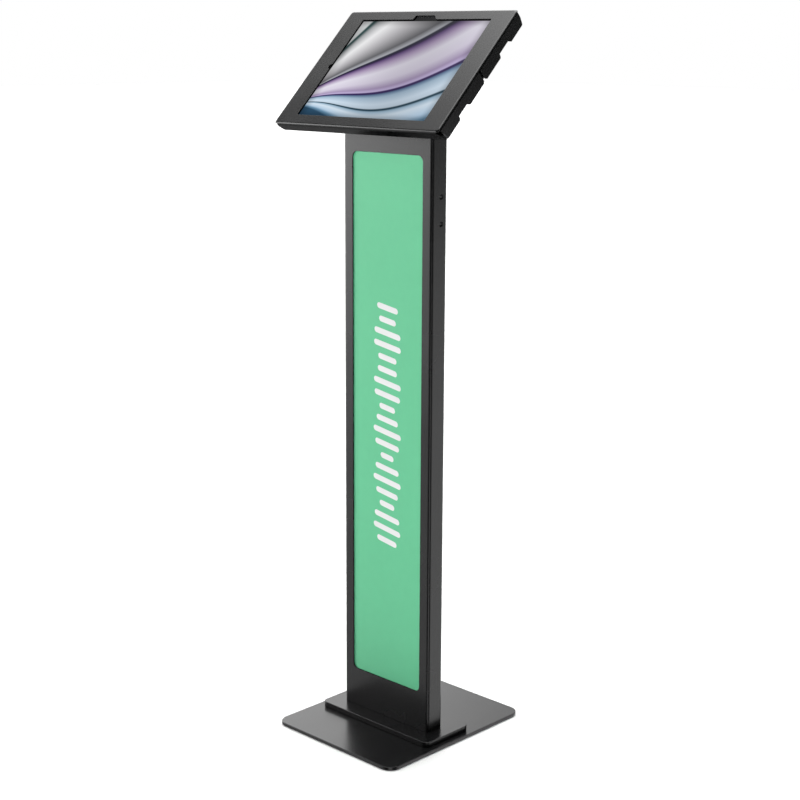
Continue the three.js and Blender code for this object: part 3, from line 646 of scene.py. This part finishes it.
def boxRows(low, high):
    # a box between its low and its high corner
    corners = [(low[0], low[1]), (high[0], low[1]), (high[0], high[1]), (low[0], high[1])]
    return prism(corners, "z", low[2], high[2])


def makeObject(name, rows, place, closed=False, capFirst=True, capLast=True):
    # row k joins row k + 1 and every point joins the next one round; the end rows are capped,
    # or the last row joins the first
    rows = np.asarray(rows, float)
    count, around = rows.shape[:2]
    index = np.arange(count * around).reshape(count, around)
    upper = np.roll(index, -1, 0) if closed else index[1:]
    lower = index if closed else index[:-1]
    quads = np.stack([lower, np.roll(lower, -1, 1), np.roll(upper, -1, 1), upper], -1)
    faces = quads.reshape(-1, 4).tolist()
    if not closed and capFirst:
        faces.append(index[0][::-1].tolist())
    if not closed and capLast:
        faces.append(index[-1].tolist())
    mesh = bpy.data.meshes.new(name)
    mesh.from_pydata(place(rows.reshape(-1, 3)).tolist(), [], faces)
    obj = bpy.data.objects.new(name, mesh)
    bpy.context.scene.collection.objects.link(obj)
    return obj


def tidyMesh(mesh, dissolve=True, turnOut=False):
    # doubles merged, and flat faces that lie in one plane made one
    work = bmesh.new()
    work.from_mesh(mesh)
    bmesh.ops.remove_doubles(work, verts=work.verts, dist=0.002 * mm)
    if turnOut:
        bmesh.ops.recalc_face_normals(work, faces=work.faces)
    if dissolve:
        bmesh.ops.dissolve_limit(
            work, angle_limit=math.radians(0.4), verts=work.verts, edges=work.edges
        )
    work.to_mesh(mesh)
    work.free()


def freeze(obj):
    # the modifiers' result becomes the piece's own mesh
    graph = bpy.context.evaluated_depsgraph_get()
    made = bpy.data.meshes.new_from_object(obj.evaluated_get(graph), depsgraph=graph)
    old = obj.data
    obj.modifiers.clear()
    obj.data = made
    made.name = obj.name
    bpy.data.meshes.remove(old)


def cutAway(obj, cutters):
    # every cutter's room is taken out of the piece
    for cutter in cutters:
        tidyMesh(cutter.data, dissolve=False, turnOut=True)
        hollow = obj.modifiers.new("cut", "BOOLEAN")
        hollow.operation = "DIFFERENCE"
        hollow.solver = "MANIFOLD"
        hollow.object = cutter
    freeze(obj)
    for cutter in cutters:
        bpy.data.objects.remove(cutter)


def soften(obj, width, segments=3, angle=32):
    # every sharp edge gets a small round, and flat faces keep their flat shading
    tidyMesh(obj.data)
    obj.data.shade_smooth()
    if width:
        bevel = obj.modifiers.new("round", "BEVEL")
        bevel.width = width * mm
        bevel.segments = segments
        bevel.limit_method = "ANGLE"
        bevel.angle_limit = math.radians(angle)
        bevel.use_clamp_overlap = False
        bevel.miter_outer = "MITER_ARC"
    weighted = obj.modifiers.new("shading", "WEIGHTED_NORMAL")
    weighted.keep_sharp = True
    freeze(obj)


def hand(obj, slotName, body, *stands):
    # gives the piece its finish and its body, and says which nodes it stands for
    obj.data.materials.clear()
    obj.data.materials.append(finishes[slotName])
    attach(obj, body)
    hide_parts(*stands)
    return obj


def piece(name, rows, place, slotName, body, stands, cutters=(), wall=0.0, edge=0.3, **how):
    # the usual way of a piece: skin, wall thickness, cuts, rounded edges, finish
    obj = makeObject(name, rows, place, **how)
    tidyMesh(obj.data, dissolve=False)
    if wall:
        thick = obj.modifiers.new("wall", "SOLIDIFY")
        thick.thickness = wall * mm
        thick.offset = -1
        thick.use_even_offset = True
        freeze(obj)
    if cutters:
        cutAway(obj, [makeObject("cutter", rows, place) for rows in cutters])
    soften(obj, edge)
    return hand(obj, slotName, body, stands)


def softCopy(node, edge, body="stand", name=None):
    # a node's own shape with its edges rounded
    words = node.split("_")
    name = name or words[0] + "".join(word.capitalize() for word in words[1:])
    obj = bpy.data.objects.new(name, nodes[node].data.copy())
    obj.data.name = name
    bpy.context.scene.collection.objects.link(obj)
    slotName = slotByNode[node]
    soften(obj, edge, segments=2)
    return hand(obj, slotName, body, node)


def halfRound(radius, steps, start=0.0, turn=90.0):
    # radius times (sine, 1 - cosine) of the bend angle
    angle = np.radians(np.linspace(start, turn, steps + 1))
    return radius * np.sin(angle), radius * (1 - np.cos(angle))


basePlate = {
    "corner": 20.0,
    "edge": 0.7,
    "mouth": 9.9,  # countersink at the underside
    "throat": 4.3,
}
footFlange = {"corner": 10.0, "edge": 0.8, "boltRise": 7.0}
boltSpots = [standSpot(f"base_bolt_{number}")[0] for number in (1, 2, 3, 4)]


def plateRows(low, high, corner):
    # a flat slab with round corners, from its lower to its upper face
    half = (high - low) / 2
    middle = (high + low)[:2] / 2
    loop = roundedLoop(half[0], half[1], corner, middle, steps=20)
    return np.array([level(loop, low[2]), level(loop, high[2])])


def makeBase():
    # two slabs; the bolts' countersinks open at 45 degrees from throat to mouth in the lower one
    _, low, high = standSpot("base_plate")
    throat = basePlate["throat"]
    mouth = basePlate["mouth"]
    sink = turnedRows([
        (mouth, low[2] - 0.5), (mouth, low[2] + 0.1), (throat, low[2] + mouth - throat),
        (throat, high[2] + 1),
    ])
    sinks = [sink + np.array([spot[0], spot[1], 0]) for spot in boltSpots]
    rows = plateRows(low, high, basePlate["corner"])
    edge = basePlate["edge"]
    piece("basePlate", rows, inStand, "coated_plate", "stand", "base_plate", sinks, edge=edge)
    _, low, high = standSpot("foot_flange")
    bore = turnedRows([(throat, low[2] - 1), (throat, low[2] + footFlange["boltRise"])])
    bores = [bore + np.array([spot[0], spot[1], 0]) for spot in boltSpots]
    rows = plateRows(low, high, footFlange["corner"])
    edge = footFlange["edge"]
    piece("footFlange", rows, inStand, "coated_plate", "stand", "foot_flange", bores, edge=edge)


# every node wears its slot's finish; the new pieces below take over most of them
slotByNode = {}
for name, node in nodes.items():
    slotByNode[name] = node.data.materials[0].name.split(".")[0]
    node.data.materials.clear()
    node.data.materials.append(finishes[slotByNode[name]])

makeBase()
print("base made")


# the column is a folded tube with a window for the panel, two side holes and a cable hole
column = {
    "wall": 2.0,
    "corner": 5.0,
    "edge": 0.35,
    "windowWidth": 147.0,
    "windowLow": 78.0,
    "windowHigh": 914.0,
    "windowCorner": 9.5,
    "sideHole": 4.0,
    "cableHole": 9.5,
}


def makeColumn(look):
    # the inner skin is the outer one moved in by the wall, and its corners are tighter by as much
    middle, low, high = standSpot("column_tube")
    half = (high - low) / 2
    wall, corner = look["wall"], look["corner"]
    outer = roundedLoop(half[0], half[1], corner, middle[:2], steps=14)
    inner = roundedLoop(half[0] - wall, half[1] - wall, corner - wall, middle[:2], steps=14)
    rows = [level(outer, low[2]), level(outer, high[2]), level(inner, high[2]), level(inner, low[2])]
    tall = (look["windowHigh"] - look["windowLow"]) / 2
    centre = (0.0, (look["windowHigh"] + look["windowLow"]) / 2)
    window = roundedLoop(look["windowWidth"] / 2, tall, look["windowCorner"], centre, steps=12)
    cuts = [prism(window, "y", low[1] - 1, low[1] + wall + 1)]
    for name in ("accessory_nut_lower", "accessory_nut_upper"):
        spot = standSpot(name)[0]
        hole = turnedRows([(look["sideHole"], -3), (look["sideHole"], 3)])
        cuts.append(layAlong(hole, "x", (half[0], spot[1], spot[2])))
    cable = turnedRows([(look["cableHole"], -3), (look["cableHole"], 3)])
    cuts.append(layAlong(cable, "y", (0, high[1], standSpot("column_grommet")[0][2])))
    piece(
        "columnTube", rows, inStand, "coated_steel", "stand", "column_tube", cuts,
        edge=look["edge"], closed=True,
    )


panel = {"corner": 4.0, "edge": 0.25}


def makePanel(look):
    # a flat sheet with round corners, standing behind the window
    middle, low, high = standSpot("graphic_panel")
    half = (high - low) / 2
    loop = roundedLoop(half[0], half[2], look["corner"], (middle[0], middle[2]), steps=10)
    rows = prism(loop, "y", high[1], low[1])
    edge = look["edge"]
    sheet = piece("graphicPanel", rows, inStand, "green_panel", "stand", "graphic_panel", edge=edge)
    sheet.visible_glossy = False  # its green stays out of the dark coating's reflections


makeColumn(column)
makePanel(panel)
print("column made")


# the cover is one folded sheet with a window, leaning top and bottom flanges and notched sides
cover = {
    "sheet": 1.5,
    "bend": 3.5,
    "lean": 7.5,
    "corner": 4.5,
    "edge": 0.3,
    "windowWidth": 263.0,
    "windowHeight": 198.5,
    "windowCorner": 1.2,
    "cameraNotch": {"left": -25.0, "right": 22.5, "topLeft": -23.5, "topRight": 14.5, "depth": 8.0},
    "sensorNotch": 4.8,
    "sideNotches": [(45.5, 74.4), (164.7, 196.2)],
    "notchDepth": 6.0,
    "notchChamfer": 5.7,
    "slit": {"low": 116.9, "high": 120.7, "start": 2.6, "chamfer": 3.0},
    "seam": 0.7,
    "seamLift": 1.14,
    "relief": {"from": 1.9, "to": 13.0, "wide": 7.0, "narrow": 1.2},
}


def coverWindow(look):
    # the window's outline, anticlockwise from its lower right corner
    halfX, halfY, corner = look["windowWidth"] / 2, look["windowHeight"] / 2, look["windowCorner"]
    rounded = roundedLoop(halfX, halfY, corner, steps=6).reshape(4, -1, 2)
    notch = look["cameraNotch"]
    top = halfY + notch["depth"]
    camera = [
        (notch["right"], halfY), (notch["topRight"], top), (notch["topLeft"], top),
        (notch["left"], halfY),
    ]
    angle = np.linspace(math.pi / 2, 3 * math.pi / 2, 25)
    sensor = look["sensorNotch"] * np.column_stack([np.cos(angle), np.sin(angle)]) - (halfX, 0)
    return np.vstack([rounded[3], rounded[0], camera, rounded[1], sensor, rounded[2]])


def makeCover(look):
    # each ring stands in by bend * (1 - sin) and down by bend * (1 - cos) of its angle round the
    # fold, then the flanges run on straight, leaning in, to their edges
    _, low, high = headSpot("front_cover")
    halfX = (high[0] - low[0]) / 2
    depth = -low[2]
    bend, lean = look["bend"], look["lean"]
    slope = math.atan2(lean, depth)
    bendTurn = 90 + math.degrees(slope)
    tangent = bend * math.tan(math.radians(bendTurn) / 2)
    halfY = (high[1] - low[1]) / 2 + tangent - bend  # to where face and flange planes meet
    angle = np.radians(np.append(np.linspace(0, 90, 13), np.linspace(90, bendTurn, 4)[1:]))
    down = bend * (1 - np.cos(angle))
    insetX = np.where(angle < math.pi / 2, bend * (1 - np.sin(np.minimum(angle, math.pi / 2))), 0)
    insetY = tangent - bend * np.sin(angle)
    down = np.append(down, depth)
    insetX = np.append(insetX, 0)
    insetY = np.append(insetY, lean)
    rings = [
        level(roundedLoop(halfX - x, halfY - y, look["corner"], steps=6), -d)
        for x, y, d in zip(insetX[::-1], insetY[::-1], down[::-1])
    ]
    cuts = [prism(coverWindow(look), "z", -look["sheet"] - 2, 2)]
    reach, chamfer, tip = look["notchDepth"], look["notchChamfer"], -depth
    for start, end in look["sideNotches"]:
        first, last = start - halfY, end - halfY
        outline = [
            (first - 1, tip - 1), (last + 1, tip - 1), (last, tip), (last - chamfer, tip + reach),
            (first + 1.5, tip + reach), (first, tip + 1.5), (first - 1, tip + 0.5),
        ]
        cuts.append(prism(outline, "x", -halfX - 2, halfX + 2))
    slit = look["slit"]
    first, last, ease = slit["low"] - halfY, slit["high"] - halfY, slit["chamfer"]
    outline = [
        (first - ease, tip - 1), (last + ease, tip - 1), (last + ease, tip), (last, tip + ease),
        (last, -slit["start"]), (first, -slit["start"]), (first, tip + ease), (first - ease, tip),
    ]
    cuts.append(prism(outline, "x", -halfX - 2, halfX + 2))

    def leanAt(down):
        return lean * down / depth

    near = look["sheet"] * look["seamLift"]
    seam = look["seam"]
    edge = [
        (leanAt(bend) + near, -bend), (leanAt(depth + 1) + near, -depth - 1),
        (leanAt(depth + 1) + near + seam, -depth - 1), (leanAt(bend) + near + seam, -bend),
    ]
    relief = look["relief"]
    wedge = [
        (halfX + 2, -relief["from"]), (halfX - relief["wide"], -relief["from"]),
        (halfX - relief["narrow"], -relief["to"]), (halfX + 2, -relief["to"]),
    ]
    thick = look["sheet"] + 0.6
    for side in (-1, 1):
        for end in (-1, 1):
            outline = [(end * (y - halfY), z) for y, z in edge]
            fromX, toX = sorted((side * (halfX - thick), side * (halfX + 1)))
            cuts.append(prism(outline, "x", fromX, toX))
            outline = [(side * x, z) for x, z in wedge]
            innerY = halfY - leanAt(relief["to"]) - look["sheet"] - 1
            fromY, toY = sorted((end * (halfY + 1), end * innerY))
            cuts.append(prism(outline, "y", fromY, toY))
    piece(
        "frontCover", rings, inHead, "coated_steel", "cover", "front_cover", cuts,
        wall=look["sheet"], edge=look["edge"], capFirst=False,
    )


makeCover(cover)
print("cover made")


# the tray lies behind the tablet
tray = {
    "sheet": 1.5,
    "bend": 2.5,
    "edge": 0.3,
    "screwHole": 2.4,
    "cableHole": 13.0,
    "lockHole": 8.8,
    "catchSlot": 9.5,
}


def makeTray(look):
    # the floor's rim stands in by bend * (1 - sin) and up by bend * (1 - cos), then the walls rise
    middle, low, high = headSpot("enclosure_back")
    half = (high - low) / 2
    inward, rise = halfRound(look["bend"], 8)
    inset = look["bend"] - inward
    rows = [
        level(
            roundedLoop(half[0] - x, half[1] - x, max(look["bend"] - x, 0.3), middle[:2], steps=8),
            low[2] + z,
        )
        for x, z in zip(inset, rise)
    ]
    rows.append(level(roundedLoop(half[0], half[1], look["bend"], middle[:2], steps=8), high[2]))
    cuts = []
    for number in (1, 2, 3, 4):
        spot = headSpot(f"vesa_screw_{number}")[0]
        hole = turnedRows([(look["screwHole"], low[2] - 1), (look["screwHole"], low[2] + 3)])
        cuts.append(hole + np.array([spot[0], spot[1], 0]))
    bores = {"enclosure_grommet": look["cableHole"], "lock_housing": look["lockHole"]}
    for name, radius in bores.items():
        spot = headSpot(name)[0]
        hole = turnedRows([(radius, low[2] - 1), (radius, low[2] + 3)])
        cuts.append(hole + np.array([spot[0], spot[1], 0]))
    catch, catchLow, _ = headSpot("lock_catch")
    slot = look["catchSlot"]
    slotLow = (half[0] - 3, catch[1] - slot, catchLow[2] - 1.4)
    slotHigh = (half[0] + 1, catch[1] + slot, high[2] + 1)
    cuts.append(boxRows(slotLow, slotHigh))
    piece(
        "enclosureTray", rows, inHead, "coated_steel", "stand", "enclosure_back", cuts,
        wall=look["sheet"], edge=look["edge"], capLast=False,
    )


makeTray(tray)
print("tray made")


tablet = {
    "corner": 17.0,
    "backEdge": 1.6,
    "wall": 1.2,
    "floor": 1.0,
    "shellEdge": 0.2,
    "buttonPlay": 0.3,
    "glassEdge": 0.35,
}


def makeTablet(look):
    # a shell whose back edge is a quarter round, hollow down to its floor, and the glass on top
    middle, low, high = headSpot("tablet_housing")
    half = (high - low) / 2
    corner, wall = look["corner"], look["wall"]
    inward, rise = halfRound(look["backEdge"], 6)
    inset = look["backEdge"] - inward
    loops = [(x, low[2] + z) for x, z in zip(inset, rise)]
    loops += [(0, high[2]), (wall, high[2]), (wall, low[2] + look["floor"])]
    rows = [
        level(roundedLoop(half[0] - x, half[1] - x, corner - x, middle[:2], steps=20), z)
        for x, z in loops
    ]
    play = look["buttonPlay"]
    cuts = []
    for name in ("power_button", "volume_button"):
        _, first, last = headSpot(name)
        cuts.append(boxRows(first - play, last + play))
    edge = look["shellEdge"]
    piece("tabletShell", rows, inHead, "tablet_aluminium", "stand", "tablet_housing", cuts, edge=edge)
    middle, low, high = headSpot("tablet_screen")
    half = (high - low) / 2
    inset = (headSpot("tablet_housing")[2] - high)[0]
    loop = roundedLoop(half[0], half[1], corner - inset, middle[:2], steps=20)
    rows = [level(loop, low[2]), level(loop, high[2])]
    piece("displayGlass", rows, inHead, "screen_glass", "stand", "tablet_screen", edge=look["glassEdge"])


makeTablet(tablet)
print("tablet made")


# turned pieces: pads, grommets, screws and the lock
footPad = {"ease": 0.5, "easeRise": 0.4, "edge": 0.12}


def makePads(look):
    # a disc whose lower rim is eased
    for number in (1, 2, 3, 4):
        middle, low, high = standSpot(f"foot_pad_{number}")
        radius = (high[0] - low[0]) / 2
        eased = (radius - look["ease"], low[2])
        rows = turnedRows([eased, (radius, low[2] + look["easeRise"]), (radius, high[2])], 64)
        rows = layAlong(rows, "z", (middle[0], middle[1], 0))
        name = f"footPad{number}"
        piece(name, rows, inStand, "black_rubber", "stand", f"foot_pad_{number}", edge=look["edge"])


grommets = {
    "column_grommet": {
        "name": "columnGrommet",
        "bore": 6.0,
        "hole": 9.2,
        "rim": 12.0,
        "lip": 2.5,
        "sheet": 2.0,
        "axis": "y",
    },
    "enclosure_grommet": {
        "name": "enclosureGrommet",
        "bore": 8.0,
        "hole": 12.7,
        "rim": 15.5,
        "lip": 1.6,
        "sheet": 1.5,
        "axis": "z",
    },
}
grommetPlay = 0.3
grommetEdge = 0.25


def makeGrommet(node, look):
    # a ring with a groove round it that the sheet sits in, with a little play on both sides
    inTheHead = look["axis"] == "z"
    middle = (headSpot if inTheHead else standSpot)(node)[0]
    half = look["sheet"] / 2
    outside, groove = half + look["lip"], half + grommetPlay
    bore, hole, rim = look["bore"], look["hole"], look["rim"]
    profile = [
        (bore, -outside), (rim - 1, -outside), (rim, -outside + 1), (rim, -groove), (hole, -groove),
        (hole, groove), (rim, groove), (rim, outside - 1), (rim - 1, outside), (bore, outside),
    ]
    rows = layAlong(turnedRows(profile, 64), look["axis"], middle)
    place = inHead if inTheHead else inStand
    piece(look["name"], rows, place, "black_rubber", "stand", node, edge=grommetEdge, closed=True)


# screws are given as shank and head radii, key socket (corner radius and depth) and head heights
baseBolt = {"shank": 3.9, "head": 8, "headTall": 4, "key": 2.5, "keyDeep": 2.2, "edge": 0.2}
vesaScrew = {"shank": 2, "head": 4, "headTall": 2.6, "key": 1.5, "keyDeep": 1.4, "edge": 0.15}
bracketScrew = {"shank": 3, "head": 5.5, "headTall": 3.3, "key": 2, "keyDeep": 2, "edge": 0.15}


def makeScrews():
    # each profile runs from the key socket's floor, round the head and along the shank
    for number in (1, 2, 3, 4):
        look, node = baseBolt, f"base_bolt_{number}"
        middle, low, high = standSpot(node)
        bottom, top = low[2], high[2]
        profile = [
            (look["key"], bottom + look["keyDeep"], 6), (look["key"], bottom, 6), (look["head"], bottom),
            (look["shank"], bottom + look["headTall"]), (look["shank"], top),
        ]
        rows = layAlong(turnedRows(profile), "z", (middle[0], middle[1], 0))
        name = f"baseBolt{number}"
        piece(name, rows, inStand, "black_steel", "stand", node, edge=look["edge"])
        look, node = vesaScrew, f"vesa_screw_{number}"
        middle, low, high = headSpot(node)
        bottom, top = low[2], high[2]
        seat, head = bottom + look["headTall"], look["head"]
        profile = [
            (look["key"], bottom + look["keyDeep"], 6), (look["key"], bottom, 6), (head - 1, bottom),
            (head - 0.3, bottom + 0.3), (head, bottom + 1), (head, seat), (look["shank"], seat),
            (look["shank"], top),
        ]
        rows = layAlong(turnedRows(profile), "z", (middle[0], middle[1], 0))
        name = f"vesaScrew{number}"
        piece(name, rows, inHead, "black_steel", "stand", node, edge=look["edge"])
    for side in ("left", "right"):
        look, node = bracketScrew, f"bracket_screw_{side}"
        middle, low, high = standSpot(node)
        bottom, top = low[2], high[2]
        seat, head = top - look["headTall"], look["head"]
        profile = [
            (look["shank"], bottom), (look["shank"], seat), (head, seat), (head, top - 1),
            (head - 0.4, top - 0.3), (head - 1, top), (look["key"], top, 6),
            (look["key"], top - look["keyDeep"], 6),
        ]
        rows = layAlong(turnedRows(profile), "z", (middle[0], middle[1], 0))
        name = f"bracketScrew{side.capitalize()}"
        piece(name, rows, inStand, "black_steel", "stand", node, edge=look["edge"])


lock = {
    "bore": 6.0,
    "barrel": 5.6,
    "head": 10.5,
    "headTall": 4,
    "body": 8.4,
    "nut": 12.4,
    "nutBore": 8.8,
    "keyWide": 0.9,
    "keyTall": 3.6,
    "keyDeep": 6,
}


def makeLock(look):
    # a flanged tube, its six-sided nut, and the barrel with a slot for the key
    middle, low, high = headSpot("lock_housing")
    x, y = middle[:2]
    face, seat = low[2], low[2] + look["headTall"]
    bore, head, body = look["bore"], look["head"], look["body"]
    profile = [
        (bore, face), (head - 1.2, face), (head - 0.4, face + 0.35), (head, face + 1.1), (head, seat),
        (body, seat), (body, high[2]), (bore, high[2]),
    ]
    rows = layAlong(turnedRows(profile, 72), "z", (x, y, 0))
    piece("lockHousing", rows, inHead, "lock_chrome", "stand", "lock_housing", edge=0.15, closed=True)
    _, low, high = headSpot("lock_nut")
    bore, nut = look["nutBore"], look["nut"]
    profile = [(bore, low[2]), (nut, low[2], 6), (nut, high[2], 6), (bore, high[2])]
    rows = layAlong(turnedRows(profile, 72), "z", (x, y, 0))
    piece("lockNut", rows, inHead, "zinc_steel", "stand", "lock_nut", edge=0.25, closed=True)
    _, low, high = headSpot("lock_barrel")
    barrel = turnedRows([(look["barrel"], low[2]), (look["barrel"], high[2])], 60)
    rows = layAlong(barrel, "z", (x, y, 0))
    wide, tall = look["keyWide"], look["keyTall"]
    keyway = boxRows((x - wide, y - tall, low[2] - 1), (x + wide, y + tall, low[2] + look["keyDeep"]))
    piece("lockBarrel", rows, inHead, "lock_chrome", "lock_plug", "lock_barrel", [keyway], edge=0.2)


makePads(footPad)
for node, look in grommets.items():
    makeGrommet(node, look)
makeScrews()
makeLock(lock)
print("turned pieces made")


# folded and stamped pieces keep their node's shape, with rounded edges of these widths
softened = {
    "head_bracket": 0.5,
    "column_cap": 0.5,
    "panel_rail_left": 0.3,
    "panel_rail_right": 0.3,
    "accessory_nut_lower": 0.25,
    "accessory_nut_upper": 0.25,
    "hinge_leaf_fixed": 0.2,
    "hinge_pin": 0.3,
    "front_camera": 0.15,
}
for node, edge in softened.items():
    softCopy(node, edge)
for node, edge in {"hinge_leaf_cover": 0.2, "lock_catch": 0.3}.items():
    softCopy(node, edge, "cover")
for node, edge in {"lock_cam": 0.3, "cam_screw": 0.2}.items():
    softCopy(node, edge, "lock_plug")
softCopy("power_button", 0.3, "power_key")
softCopy("volume_button", 0.3, "volume_key")
foamEdge = 1.0
cornerPads = [f"corner_pad_{high}_{side}" for high in ("lower", "upper") for side in ("left", "right")]
for node in ["foam_support"] + cornerPads:
    softCopy(node, foamEdge)
print("stamped and foam pieces made")
